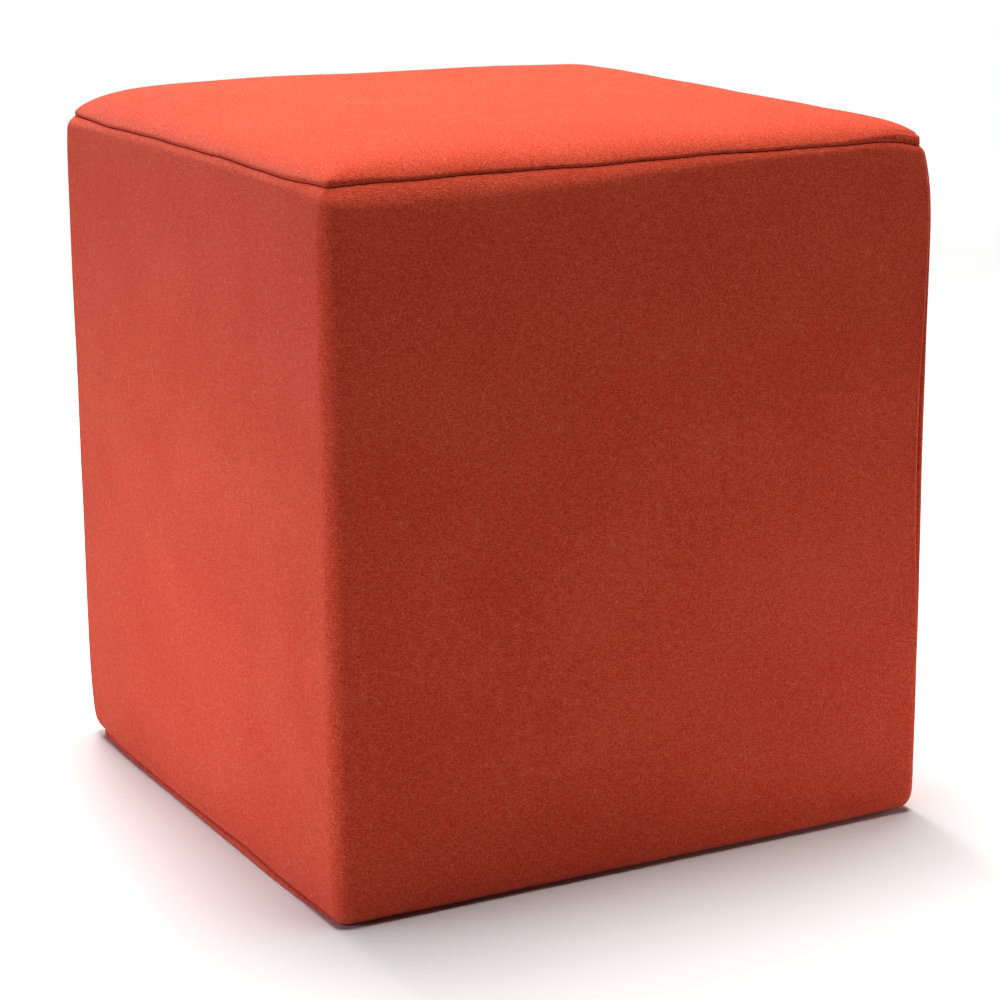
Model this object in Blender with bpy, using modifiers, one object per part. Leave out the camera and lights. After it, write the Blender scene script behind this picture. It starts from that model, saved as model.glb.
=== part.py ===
"""Cube pouf stool covered in felted wool: a crowned top panel, one boxing strip and a base panel.

Metres, +Z up. The origin is on the floor, under the middle of the stool. The front faces -Y.
The cover is sewn with plain seams and filled tight, so each piece here is the filled solid behind
one cut piece of cloth, and the pieces meet along the seams.

Each piece starts as a box cage cut into strips and layers. Every cage point is then laid on the
cloth's surface, which the functions below work out from the sizes and the corner table, and a
Subdivision Surface rounds the cage off.
"""

import math
from collections import namedtuple

import bmesh
import bpy
from mathutils import Vector

# Driving sizes
SIDE = 0.420  # plan of the stool, face to face
SEAM_HEIGHT = 0.440  # top seam above the floor
CROWN_RISE = 0.024  # middle of the top above its seam
FACE_BULGE = 0.003  # how far the filling pushes each face out at its middle
CORNER_RADIUS = 0.008  # upright corners
LEAST_RADIUS = 0.0008  # where a seam draws a corner in

# Seams
SEAM_GAP = 0.0003  # between two pieces that are sewn together
SEAM_INSET = 0.0075  # from a face in to the top seam
SEAM_TUCK = 0.0022  # depth of the crease at the top seam
BASE_INSET = 0.0045  # from a face in to the base seam
BASE_TUCK = 0.0012  # depth of the crease at the base seam
BASE_ROLL = 0.009  # height over which a face rolls in to the base seam
BASE_RIM_ROLL = 0.0015  # from the base panel's rim in to where it meets the floor
UPRIGHT_SEAM_DEPTH = 0.0026  # groove of the boxing's own join
UPRIGHT_SEAM_HALF_TURN = 9.0  # degrees of the corner's arc on each side of that groove
CROWN_LIP = 0.0012  # height of the crown's first row above its seam

# Shape of the crown: its profile is (1 - s ** CROWN_FULL) ** CROWN_EDGE, with s = 1 at the seam
CROWN_FULL = 6.0
CROWN_EDGE = 0.45
CROWN_HIP = 3.0  # the higher, the sharper the hip where two edges of the crown meet

# Base seam: low at the front. On the left face the base panel stands out under it, most of all near
# the front. Each row: place along Y, rise of the seam, how far the panel stands out, and the share
# by which the face above it rolls in less.
BASE_SEAM_INSIDE = 0.004  # height of the base panel's upper face away from its rim
LeftBase = namedtuple("LeftBase", "along rise stand_out fill")
LEFT_BASE = (
    LeftBase(-0.210, 0.0000, 0.0000, 0.0),
    LeftBase(-0.165, 0.0030, 0.0035, 0.4),
    LeftBase(-0.115, 0.0045, 0.0045, 0.5),
    LeftBase(-0.045, 0.0010, 0.0035, 0.4),
    LeftBase(+0.100, 0.0000, 0.0030, 0.4),
    LeftBase(+0.210, 0.0000, 0.0015, 0.2),
)

CORNER_SPREAD = 0.045  # distance along a face over which a corner's pull fades

# Each corner of the cover: its side of the plan, how far it is drawn in along the diagonal and over
# what height, at the top and at the base, the height of the roll below the top seam, the dip of
# that seam, the height of the base seam, and how full the crown is there.
Corner = namedtuple(
    "Corner", "x y top_draw top_reach base_draw base_reach top_roll seam_dip base_seam fullness"
)
CORNERS = (
    Corner(-1, -1, 0.0010, 0.030, 0.0015, 0.030, 0.017, 0.0000, 0.0025, 0.90),
    Corner(+1, -1, 0.0022, 0.067, 0.0012, 0.030, 0.005, 0.0015, 0.0015, 1.08),
    Corner(+1, +1, 0.0020, 0.050, 0.0020, 0.040, 0.012, 0.0010, 0.0030, 1.00),
    Corner(-1, +1, 0.0006, 0.020, 0.0015, 0.080, 0.010, 0.0000, 0.0045, 1.12),
)

# The boxing's own join runs up the front right corner, and wanders round it near the floor.
# Each row: height of the point as a share of the boxing, and the turn from the front face in degrees.
SEAM_RUN = ((0.00, 58.0), (0.22, 48.0), (0.42, 18.0), (1.00, 14.0))

# Cage
STRIPS = 12  # strips of a cage along X and along Y
STRAIGHT_SHARE = 0.5  # share of each side's strips that lie on its straight part
RING_PLACE = (0.0, 0.30, 0.58, 0.80, 0.93, 0.985, 1.0)  # rings of a flat side, from middle to rim
BOXING_ROWS = (0.0, 0.008, 0.022, 0.07, 0.19, 0.38, 0.60, 0.80, 0.92, 0.965, 0.988, 0.997, 1.0)
EASE = 1.35  # above 1 it gathers the strips of a straight part towards its ends
ARC_STEP = 90.0 / (STRIPS * STRAIGHT_SHARE)  # turn between two strips on a corner's arc, in degrees
SEAM_STATION = 2  # strip of the front right corner's arc that holds the upright seam
HEADINGS = (-90.0, 0.0, 90.0, 180.0)  # outward direction of the front, right, back and left

FELT_COLOUR = (0.552, 0.066, 0.038, 1.0)  # coral red wool
FELT_ROUGHNESS = 0.95


def clear_scene():
    """Remove whatever the open scene holds."""
    for item in list(bpy.data.objects):
        bpy.data.objects.remove(item, do_unlink=True)


def felt_material(name):
    """Dull wool felt."""
    material = bpy.data.materials.new(name)
    material.use_nodes = True
    shader = material.node_tree.nodes["Principled BSDF"]
    shader.inputs["Base Color"].default_value = FELT_COLOUR
    shader.inputs["Roughness"].default_value = FELT_ROUGHNESS
    shader.inputs["Metallic"].default_value = 0.0
    return material


def read_table(rows, place):
    """Value of a table of (place, value) rows at a place between them."""
    for (low, start), (high, end) in zip(rows, rows[1:]):
        if place <= high:
            return start + (end - start) * max(0.0, place - low) / (high - low)
    return rows[-1][1]


def blend_corners(x, y, column):
    """Value of one column of the corner table at a point of the plan, blended from all corners."""
    across, along = 2.0 * x / SIDE, 2.0 * y / SIDE
    return sum(
        getattr(corner, column) * (1 + corner.x * across) * (1 + corner.y * along) / 4.0
        for corner in CORNERS
    )


def nearness(x, y, corner):
    """1 at a corner of the plan, fading to 0 along the faces."""
    away = math.hypot(x - corner.x * SIDE / 2, y - corner.y * SIDE / 2)
    return math.exp(-((away / CORNER_SPREAD) ** 2))


def seam_turns(height_share):
    """Turns round the front right corner, in degrees, of the cage points on its arc."""
    seam = read_table(SEAM_RUN, height_share)
    after = seam + UPRIGHT_SEAM_HALF_TURN
    step = (90.0 - after) / 3
    return (0.0, seam - UPRIGHT_SEAM_HALF_TURN, seam, after, after + step, after + 2 * step, 90.0)


def turn_at(side, along, height_share):
    """Turn of the cloth at a place on a corner's arc, in degrees from its side's outward direction.

    It also says whether that place is on the upright seam.
    """
    bend = max(0.0, abs(along) - STRAIGHT_SHARE) / (1 - STRAIGHT_SHARE) * 45.0
    into_seam_corner = {0: along > 0, 1: along < 0}.get(side, False)
    if bend == 0.0 or not into_seam_corner:
        return math.copysign(bend, along), False
    place = (bend if side == 0 else 90.0 - bend) / ARC_STEP
    turn = read_table(tuple(enumerate(seam_turns(height_share))), place)
    return (turn if side == 0 else turn - 90.0), abs(place - SEAM_STATION) < 0.01


def outline_point(side, along, turn, inset=0.0):
    """Point of the plan outline, drawn in evenly by inset, and its outward direction.

    side counts front, right, back and left; along runs from -1 to 1, anticlockwise.
    """
    radius = max(CORNER_RADIUS - inset, LEAST_RADIUS)
    straight = SIDE / 2 - inset - radius
    step = max(-1.0, min(1.0, along / STRAIGHT_SHARE))
    run = straight * step * (EASE - (EASE - 1) * step * step)
    facing = math.radians(HEADINGS[side])
    outward = math.radians(HEADINGS[side] + turn)
    ahead = Vector((math.cos(facing), math.sin(facing), 0.0))
    sideways = Vector((-math.sin(facing), math.cos(facing), 0.0))
    direction = Vector((math.cos(outward), math.sin(outward), 0.0))
    return ahead * straight + sideways * run + direction * radius, direction


def top_seam_height(x, y):
    """Height of the top seam's plane, which dips at the corners."""
    return SEAM_HEIGHT - sum(corner.seam_dip * nearness(x, y, corner) for corner in CORNERS)


def left_base(x, y, column):
    """Value of one column of the left base's table, fading to 0 away from the left face."""
    rows = [(row.along, getattr(row, column)) for row in LEFT_BASE]
    return max(0.0, -2.0 * x / SIDE) ** 6 * read_table(rows, y)


def base_seam_height(x, y, ring=1.0):
    """Height of the base seam, and inside it of the base panel's upper face."""
    rim = blend_corners(x, y, "base_seam") + left_base(x, y, "rise")
    return BASE_SEAM_INSIDE + (rim - BASE_SEAM_INSIDE) * ring**6


def wall_point(side, along, height_share, tuck=1.0):
    """Point of the boxing's surface. height_share runs from 0 at the base seam to 1 at the top one.

    tuck is 1 at the bottom of a seam's crease and 0 at its lips.
    """
    turn, on_seam = turn_at(side, along, height_share)
    flat, direction = outline_point(side, along, turn)
    low = base_seam_height(flat.x, flat.y)
    high = top_seam_height(flat.x, flat.y)
    height = low + (high - low) * height_share

    top_roll = blend_corners(flat.x, flat.y, "top_roll")
    inset = SEAM_INSET * max(0.0, 1 - (high - height) / top_roll) ** 2
    under = max(0.0, 1 - (height - low) / BASE_ROLL)
    filled = 1 - left_base(flat.x, flat.y, "fill")
    inset += BASE_INSET * filled * (1 - math.sqrt(1 - under**2))
    if height_share == 1.0:
        inset += SEAM_TUCK * tuck
    if height_share == 0.0:
        inset += BASE_TUCK * tuck

    beside = min(abs(flat.x), abs(flat.y)) * 2 / SIDE
    bulge = FACE_BULGE * (1 - beside**2) * math.sin(math.pi * height_share)
    groove = UPRIGHT_SEAM_DEPTH if on_seam and 0.0 < height_share < 1.0 else 0.0

    point, direction = outline_point(side, along, turn, inset)
    point += direction * (bulge - groove)
    for corner in CORNERS:
        draw = corner.top_draw * max(0.0, 1 - (high - height) / corner.top_reach) ** 3
        draw += corner.base_draw * max(0.0, 1 - (height - low) / corner.base_reach) ** 3
        inward = Vector((-corner.x, -corner.y, 0.0)).normalized()
        point += inward * draw * nearness(flat.x, flat.y, corner)
    point.z = height
    return point


def crown_rise(x, y):
    """Height of the crown above its seam."""
    to_seam = SIDE / 2 - SEAM_INSET
    in_x, in_y = 1 - abs(x) / to_seam, 1 - abs(y) / to_seam
    if min(in_x, in_y) < 1e-4:
        return 0.0
    inside = (in_x**-CROWN_HIP + in_y**-CROWN_HIP) ** (-1 / CROWN_HIP)
    profile = (1 - (1 - inside) ** CROWN_FULL) ** CROWN_EDGE
    return CROWN_RISE * profile * blend_corners(x, y, "fullness")


def lattice_box(layers):
    """A box from -1 to 1, cut into STRIPS strips along X and along Y, and into layers along Z."""
    cage = bmesh.new()
    bmesh.ops.create_cube(cage, size=2.0)
    for axis, count in enumerate((STRIPS, STRIPS, layers)):
        for step in range(1, count):
            place, normal = Vector(), Vector()
            place[axis] = 2.0 * step / count - 1.0
            normal[axis] = 1.0
            geometry = cage.verts[:] + cage.edges[:] + cage.faces[:]
            bmesh.ops.bisect_plane(cage, geom=geometry, plane_co=place, plane_no=normal)
    return cage


def ring_of(u, v):
    """Ring of a lattice point from 0 in the middle to 1 at the rim, its side, and place along it."""
    ring = max(abs(u), abs(v))
    if ring < 1e-6:
        return 0.0, 0, 0.0
    if -v >= abs(u) - 1e-6:
        return ring, 0, u / ring
    if u >= abs(v) - 1e-6:
        return ring, 1, v / ring
    if v >= abs(u) - 1e-6:
        return ring, 2, -u / ring
    return ring, 3, -v / ring


def ring_place(ring):
    """Where a ring lies between the middle and the rim."""
    return RING_PLACE[round(ring * STRIPS / 2)]


def flat_point(u, v, height_share, height):
    """Point of a piece's flat side, inside the seam at the foot (0) or the top (1) of the boxing."""
    ring, side, along = ring_of(u, v)
    place = ring_place(ring)
    rim = wall_point(side, along, height_share)
    return Vector((rim.x * place, rim.y * place, height(rim.x * place, rim.y * place, place)))


def boxing_surface(u, v, w):
    """Lays a cage point on the filled boxing."""
    row = round((w + 1) / 2 * (len(BOXING_ROWS) - 1))
    share = BOXING_ROWS[row]
    ring, side, along = ring_of(u, v)
    if ring > 0.999:
        return wall_point(side, along, share)
    if row == 0:
        return flat_point(u, v, 0.0, base_seam_height)
    return flat_point(u, v, 1.0, lambda x, y, place: top_seam_height(x, y))


def top_surface(u, v, w):
    """Lays a cage point on the top panel: its flat underside (w = -1) or its crown (w = 1)."""
    ring, side, along = ring_of(u, v)
    if w < 0:
        return flat_point(u, v, 1.0, lambda x, y, place: top_seam_height(x, y) + SEAM_GAP)
    if ring > 0.999:
        lip = wall_point(side, along, 1.0, tuck=0.35)
        lip.z += CROWN_LIP
        return lip
    return flat_point(
        u, v, 1.0, lambda x, y, place: top_seam_height(x, y) + SEAM_GAP + crown_rise(x, y)
    )


def base_surface(u, v, w):
    """Lays a cage point on the base panel: flat on the floor, rolled at its rim."""
    ring, side, along = ring_of(u, v)
    if w > 0.5:
        return flat_point(u, v, 0.0, lambda x, y, place: base_seam_height(x, y, place) - SEAM_GAP)
    point = flat_point(u, v, 0.0, lambda x, y, place: 0.0)
    if abs(w) < 0.5:
        lift = base_seam_height(point.x, point.y)
        point.x -= left_base(point.x, point.y, "stand_out")
        point.z = lift * 0.45
    elif ring > 0.999:
        point -= point.normalized() * BASE_RIM_ROLL
    return point


def sewn_piece(name, layers, surface, material, collection):
    """One filled piece: a box cage laid on its surface, and smoothed."""
    cage = lattice_box(layers)
    for vertex in cage.verts:
        vertex.co = surface(*vertex.co)
    bmesh.ops.recalc_face_normals(cage, faces=cage.faces)
    mesh = bpy.data.meshes.new(name)
    cage.to_mesh(mesh)
    cage.free()
    mesh.shade_smooth()
    mesh.materials.append(material)
    piece = bpy.data.objects.new(name, mesh)
    collection.objects.link(piece)
    smoothing = piece.modifiers.new("Smoothing", "SUBSURF")
    smoothing.levels = 1
    smoothing.render_levels = 1
    return piece


def main():
    clear_scene()
    collection = bpy.data.collections.new("Cube pouf stool")
    bpy.context.scene.collection.children.link(collection)
    sewn_piece("base_panel", 2, base_surface, felt_material("Base felt"), collection)
    sewn_piece("side_boxing", len(BOXING_ROWS) - 1, boxing_surface, felt_material("Boxing felt"), collection)
    sewn_piece("top_panel", 1, top_surface, felt_material("Top felt"), collection)


main()
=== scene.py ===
"""Looks of a cube pouf stool covered in coral red wool felt, in a plain pale studio.

Metres, +Z up. The front faces -Y, and the origin is on the floor under the middle of the stool.
The cover is cut in three pieces and sewn with plain seams: a crowned top panel, one boxing strip
round all four sides, and a base panel. Each is built here as a fine mesh of its own, in the place
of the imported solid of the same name, and stray wool fibres lie on the cloth.
"""

from __future__ import annotations

import logging
import math
from collections.abc import Callable, Iterable, Sequence
from dataclasses import dataclass, field
from enum import Enum
from functools import partial

import bpy
import numpy as np
from mathutils import Matrix, Vector

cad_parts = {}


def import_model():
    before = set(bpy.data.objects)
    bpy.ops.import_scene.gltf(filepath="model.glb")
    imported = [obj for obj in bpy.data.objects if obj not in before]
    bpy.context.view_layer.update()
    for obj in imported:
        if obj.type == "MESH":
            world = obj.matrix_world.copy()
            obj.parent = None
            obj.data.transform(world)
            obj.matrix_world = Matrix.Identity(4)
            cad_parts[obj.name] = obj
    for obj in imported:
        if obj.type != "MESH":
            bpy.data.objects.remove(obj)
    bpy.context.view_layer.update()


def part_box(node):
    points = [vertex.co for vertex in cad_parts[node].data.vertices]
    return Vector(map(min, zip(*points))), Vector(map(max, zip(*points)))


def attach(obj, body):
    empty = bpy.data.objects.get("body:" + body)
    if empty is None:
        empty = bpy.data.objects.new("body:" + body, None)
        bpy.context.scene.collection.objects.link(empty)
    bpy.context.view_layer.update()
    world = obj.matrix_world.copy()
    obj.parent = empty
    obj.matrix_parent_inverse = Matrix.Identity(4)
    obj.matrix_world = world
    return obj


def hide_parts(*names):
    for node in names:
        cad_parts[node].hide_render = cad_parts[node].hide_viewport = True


Array = np.ndarray
Surface = Callable[[Array, Array], tuple[Array, Array]]

log = logging.getLogger("pouf")

MM = 0.001
BODY = "root"
CLOTH_MAP = "Cloth"
GAP = 0.0003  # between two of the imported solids
CLOSED_AT = 0.9  # size of the hidden loop that closes a piece, against its last one


def linear_colour(code: str) -> tuple[float, float, float, float]:
    """Turns an sRGB hex code into a linear colour.

    Args:
        code: Six hex digits after a hash sign.

    Returns:
        Red, green and blue in linear light, and an alpha of 1.
    """
    parts = (int(code[place : place + 2], 16) / 255 for place in (1, 3, 5))
    red, green, blue = (
        part / 12.92 if part <= 0.04045 else ((part + 0.055) / 1.055) ** 2.4 for part in parts
    )
    return red, green, blue, 1.0


def add_node(
    tree: bpy.types.NodeTree, kind: str, inputs: dict | None = None, **settings: object
) -> bpy.types.Node:
    """Adds one node with its settings, input values and links.

    Args:
        tree: Tree that takes the node.
        kind: Blender's name for the node's type.
        inputs: Socket name or number, with the value it gets or the output it is linked to.
        settings: The node's own attributes.

    Returns:
        The new node.
    """
    node = tree.nodes.new(kind)
    for name, value in settings.items():
        setattr(node, name, value)
    for name, value in (inputs or {}).items():
        if isinstance(value, bpy.types.NodeSocket):
            tree.links.new(value, node.inputs[name])
        else:
            node.inputs[name].default_value = value
    return node


def new_material(name: str) -> bpy.types.Material:
    """Makes a material with no nodes yet.

    Args:
        name: The real material's name.

    Returns:
        The material.
    """
    material = bpy.data.materials.new(name)
    material.use_nodes = True
    material.node_tree.nodes.clear()
    return material


# --- Finishes ---


@dataclass(frozen=True)
class WoolFelt:
    """Wool felt, milled and cropped: dead matt, with a short nap that catches light at a slant."""

    # Milling mats the fibres, so the eye sees tufts and flecks but no thread and no highlight.
    name: str
    deep: str = "#BB2D14"  # between the fibres
    body: str = "#CB4329"  # the dyed fibres
    light: str = "#DD5B40"  # fibre tips
    stray: str = "#F09472"  # paler fibres felted into the face
    roughness: float = 0.92
    ior: float = 1.54
    specular: float = 0.1
    sheen: float = 0.12  # of the nap: a pale veil where the cloth turns away
    sheen_roughness: float = 0.50
    sheen_tint: str = "#FFE0D4"
    wander_mm: float = 9.0  # over which the nap changes its way
    wander_by_mm: float = 6.0  # how far that bends the flecks
    grain_mm: float = 0.72  # real fibres are 0.03 mm: drawn as the tufts that show from a step away
    grain_stretch: float = 2.0  # the nap lies along the cloth, so its tufts are longer that way
    fleck_mm: float = 1.9  # tufts drawn out along the cloth by the milling
    fleck_stretch: float = 3.0
    fleck_share: float = 0.40  # strength against the tufts, as in the two shares below
    mottle_mm: float = 5.0
    mottle_share: float = 0.20
    cloud_mm: float = 70.0
    cloud_share: float = 0.22
    soft_share: float = 0.8  # strength of the patterns coarser than the tufts
    tone_spread: float = 0.25  # from the middle tone to the deepest and the lightest
    squiggle_mm: float = 4.2  # curl of a felted-in fibre
    squiggle_line: float = 0.016  # its width, as a share of its noise
    squiggle_gate: tuple[float, float] = (0.50, 0.62)  # mottle at which fibres start and are full
    squiggle_share: float = 0.30  # how pale it is
    squiggle_height: float = 0.15  # its relief, against that of the tufts
    bump_mm: float = 0.52

    def build(self) -> bpy.types.Material:
        """Builds the felt's material.

        Returns:
            The material, which reads the cloth's own map.
        """
        material = new_material(self.name)
        add = partial(add_node, material.node_tree)
        cloth = add("ShaderNodeUVMap", uv_map=CLOTH_MAP)
        in_mm = add(
            "ShaderNodeVectorMath",
            {0: cloth.outputs["UV"], 1: (1 / MM, 1 / MM, 1 / MM)},
            operation="MULTIPLY",
        ).outputs["Vector"]

        # The nap wanders, so the flecks and the felted-in fibres are drawn on a bent map.
        wander = add(
            "ShaderNodeTexNoise",
            {"Vector": in_mm, "Scale": 1 / self.wander_mm, "Detail": 2.0},
            noise_dimensions="2D",
        )
        offset = add(
            "ShaderNodeVectorMath",
            {0: wander.outputs["Color"], 1: (-0.5, -0.5, -0.5)},
            operation="ADD",
        )
        bent = add(
            "ShaderNodeVectorMath",
            {0: offset.outputs["Vector"], 1: (self.wander_by_mm, self.wander_by_mm, 0.0), 2: in_mm},
            operation="MULTIPLY_ADD",
        ).outputs["Vector"]
        tufts, drawn_out = (
            add(
                "ShaderNodeVectorMath",
                {0: place, 1: (1 / stretch, 1.0, 1.0)},
                operation="MULTIPLY",
            ).outputs["Vector"]
            for place, stretch in ((in_mm, self.grain_stretch), (bent, self.fleck_stretch))
        )

        # Each pattern's place, size in mm, detail, roughness and distortion.
        patterns = (
            (tufts, self.grain_mm, 1.5, 0.5, 0.6),
            (drawn_out, self.fleck_mm, 2.0, 0.6, 0.0),
            (in_mm, self.mottle_mm, 3.0, 0.6, 0.0),
            (in_mm, self.cloud_mm, 2.0, 0.5, 0.0),
            (bent, self.squiggle_mm, 1.0, 0.5, 0.0),
        )
        sockets = ("Vector", "Scale", "Detail", "Roughness", "Distortion")
        grain, fleck, mottle, cloud, curl = (
            add(
                "ShaderNodeTexNoise",
                dict(zip(sockets, (place, 1 / size, *rest))),
                noise_dimensions="2D",
            ).outputs["Fac"]
            for place, size, *rest in patterns
        )

        # Fibres felted into the face are the thin contour lines of a soft noise, broken by another.
        from_line = add("ShaderNodeMath", {0: curl, 1: 0.5}, operation="SUBTRACT")
        distance = add("ShaderNodeMath", {0: from_line.outputs["Value"]}, operation="ABSOLUTE")
        line = add(
            "ShaderNodeMapRange",
            {"Value": distance.outputs["Value"], 1: 0.0, 2: self.squiggle_line, 3: 1.0, 4: 0.0},
        ).outputs["Result"]
        start, full = self.squiggle_gate
        gate = add(
            "ShaderNodeMapRange", {"Value": mottle, 1: start, 2: full, 3: 0.0, 4: 1.0}
        ).outputs["Result"]
        fibre = add("ShaderNodeMath", {0: line, 1: gate}, operation="MULTIPLY").outputs["Value"]

        # Tufts set the tone, and the softer patterns lean it a little to one side.
        tone = grain
        shares = (self.fleck_share, self.mottle_share, self.cloud_share)
        for pattern, share in zip((fleck, mottle, cloud), shares):
            tone = add(
                "ShaderNodeMath",
                {0: pattern, 1: share * self.soft_share, 2: tone},
                operation="MULTIPLY_ADD",
            ).outputs["Value"]
        middle = 0.5 + sum(shares) / 2 * self.soft_share
        deepest, lightest = middle - self.tone_spread, middle + self.tone_spread
        spread = add("ShaderNodeMapRange", {"Value": tone, 1: deepest, 2: lightest, 3: 0.0, 4: 1.0})
        ramp = add("ShaderNodeValToRGB", {"Fac": spread.outputs["Result"]})
        stops = ramp.color_ramp.elements
        stops[0].color, stops[1].color = linear_colour(self.deep), linear_colour(self.light)
        stops.new(0.5).color = linear_colour(self.body)
        paled = add("ShaderNodeMath", {0: fibre, 1: self.squiggle_share}, operation="MULTIPLY")
        colour = add(
            "ShaderNodeMix",
            {0: paled.outputs["Value"], 6: ramp.outputs["Color"], 7: linear_colour(self.stray)},
            data_type="RGBA",
        )

        height = add(
            "ShaderNodeMath", {0: fibre, 1: self.squiggle_height, 2: tone}, operation="MULTIPLY_ADD"
        )
        bump = add(
            "ShaderNodeBump",
            {"Height": height.outputs["Value"], "Distance": self.bump_mm * MM, "Strength": 1.0},
        )
        shader = add(
            "ShaderNodeBsdfPrincipled",
            {
                "Base Color": colour.outputs[2],
                "Roughness": self.roughness,
                "Metallic": 0.0,
                "IOR": self.ior,
                "Specular IOR Level": self.specular,
                "Sheen Weight": self.sheen,
                "Sheen Roughness": self.sheen_roughness,
                "Sheen Tint": linear_colour(self.sheen_tint),
                "Normal": bump.outputs["Normal"],
            },
        )
        add("ShaderNodeOutputMaterial", {"Surface": shader.outputs["BSDF"]})
        return material


@dataclass(frozen=True)
class StrayWool:
    """Loose wool fibres, less dyed than the cloth, so they show as pale hairs on it."""

    # A single fibre is smoother than the matted cloth, so a hair catches a little more light.
    name: str
    colour: str = "#F3A080"
    dyed: str = "#E07552"  # the hairs that took more of the dye
    patch_mm: float = 12.0  # over which the dye changes
    roughness: float = 0.55
    ior: float = 1.54
    specular: float = 0.3

    def build(self) -> bpy.types.Material:
        """Builds the fibres' material.

        Returns:
            The material: pale wool, a little uneven from hair to hair.
        """
        material = new_material(self.name)
        add = partial(add_node, material.node_tree)
        place = add("ShaderNodeTexCoord").outputs["Object"]
        uneven = add(
            "ShaderNodeTexNoise",
            {"Vector": place, "Scale": 1 / (self.patch_mm * MM), "Detail": 1.0},
        ).outputs["Fac"]
        colour = add(
            "ShaderNodeMix",
            {0: uneven, 6: linear_colour(self.dyed), 7: linear_colour(self.colour)},
            data_type="RGBA",
        )
        shader = add(
            "ShaderNodeBsdfPrincipled",
            {
                "Base Color": colour.outputs[2],
                "Roughness": self.roughness,
                "IOR": self.ior,
                "Specular IOR Level": self.specular,
            },
        )
        add("ShaderNodeOutputMaterial", {"Surface": shader.outputs["BSDF"]})
        return material


@dataclass(frozen=True)
class StudioFloor:
    """Matt white studio card, which fades into the white room some way from the stool."""

    # Uncoated card has no shine: all the eye sees on it is the stool's soft shadow.
    name: str = "Studio card, matt white"
    colour: str = "#E8E7E5"
    roughness: float = 0.9
    fade_from: float = 1.1
    fade_to: float = 2.6

    def build(self) -> bpy.types.Material:
        """Builds the floor's material.

        Returns:
            The material, clear towards the floor's rim.
        """
        material = new_material(self.name)
        add = partial(add_node, material.node_tree)
        place = add("ShaderNodeTexCoord").outputs["Object"]
        away = add("ShaderNodeVectorMath", {0: place}, operation="LENGTH").outputs["Value"]
        fade = add(
            "ShaderNodeMapRange",
            {"Value": away, 1: self.fade_from, 2: self.fade_to, 3: 0.0, 4: 1.0},
            interpolation_type="SMOOTHSTEP",
        )
        card = add(
            "ShaderNodeBsdfPrincipled",
            {"Base Color": linear_colour(self.colour), "Roughness": self.roughness},
        )
        clear = add("ShaderNodeBsdfTransparent")
        mixed = add(
            "ShaderNodeMixShader",
            {0: fade.outputs["Result"], 1: card.outputs["BSDF"], 2: clear.outputs["BSDF"]},
        )
        add("ShaderNodeOutputMaterial", {"Surface": mixed.outputs["Shader"]})
        return material


# --- The cover's shape ---


def unit(angle: Array) -> Array:
    """Unit vectors in plan, for angles in radians."""
    return np.stack([np.cos(angle), np.sin(angle)], -1)


class Side(Enum):
    """The boxing's four sides, anticlockwise from above, with the way each one faces."""

    FRONT = -90.0
    RIGHT = 0.0
    BACK = 90.0
    LEFT = 180.0


@dataclass(frozen=True)
class Corner:
    """One corner of the cover: how the sewing draws it in, and how full the crown is there.

    The draws run along the diagonal and fade over their reach, up or down the corner.
    """

    x: int
    y: int
    top_draw: float
    top_reach: float
    base_draw: float
    base_reach: float
    seam_dip: float  # of the top seam, down from its plane
    base_seam: float  # its height above the floor
    fullness: float  # of the crown, as a share of its rise
    softness: float  # of the crown's edge: the lower, the steeper it stands on the seam


@dataclass(frozen=True)
class LeftBase:
    """The base seam on the left face at one place along Y, where the base panel stands out."""

    along: float
    rise: float  # of the seam, past what the corners give
    rim: float  # how far in the base panel's rim is, where it is widest
    fill: float  # share of the boxing's inset that is filled out


@dataclass
class Ripple:
    """A faint unevenness of the filling under the cloth: a few long waves, laid at random."""

    seed: int
    height: float
    shortest: float = 0.070
    longest: float = 0.190
    count: int = 9

    def __post_init__(self) -> None:
        """Draws the waves."""
        chance = np.random.default_rng(self.seed)
        ways = chance.normal(size=(self.count, 3))
        ways /= np.linalg.norm(ways, axis=1, keepdims=True)
        lengths = chance.uniform(self.shortest, self.longest, self.count)
        self.waves = ways * (2 * math.pi / lengths)[:, None]
        self.starts = chance.uniform(0, 2 * math.pi, self.count)

    def at(self, points: Array) -> Array:
        """Height of the unevenness at each point.

        Args:
            points: Points in metres, with the coordinates last.

        Returns:
            Heights in metres.
        """
        phase = points @ self.waves.T + self.starts
        return self.height * np.sin(phase).sum(axis=-1) / math.sqrt(self.count)


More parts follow.
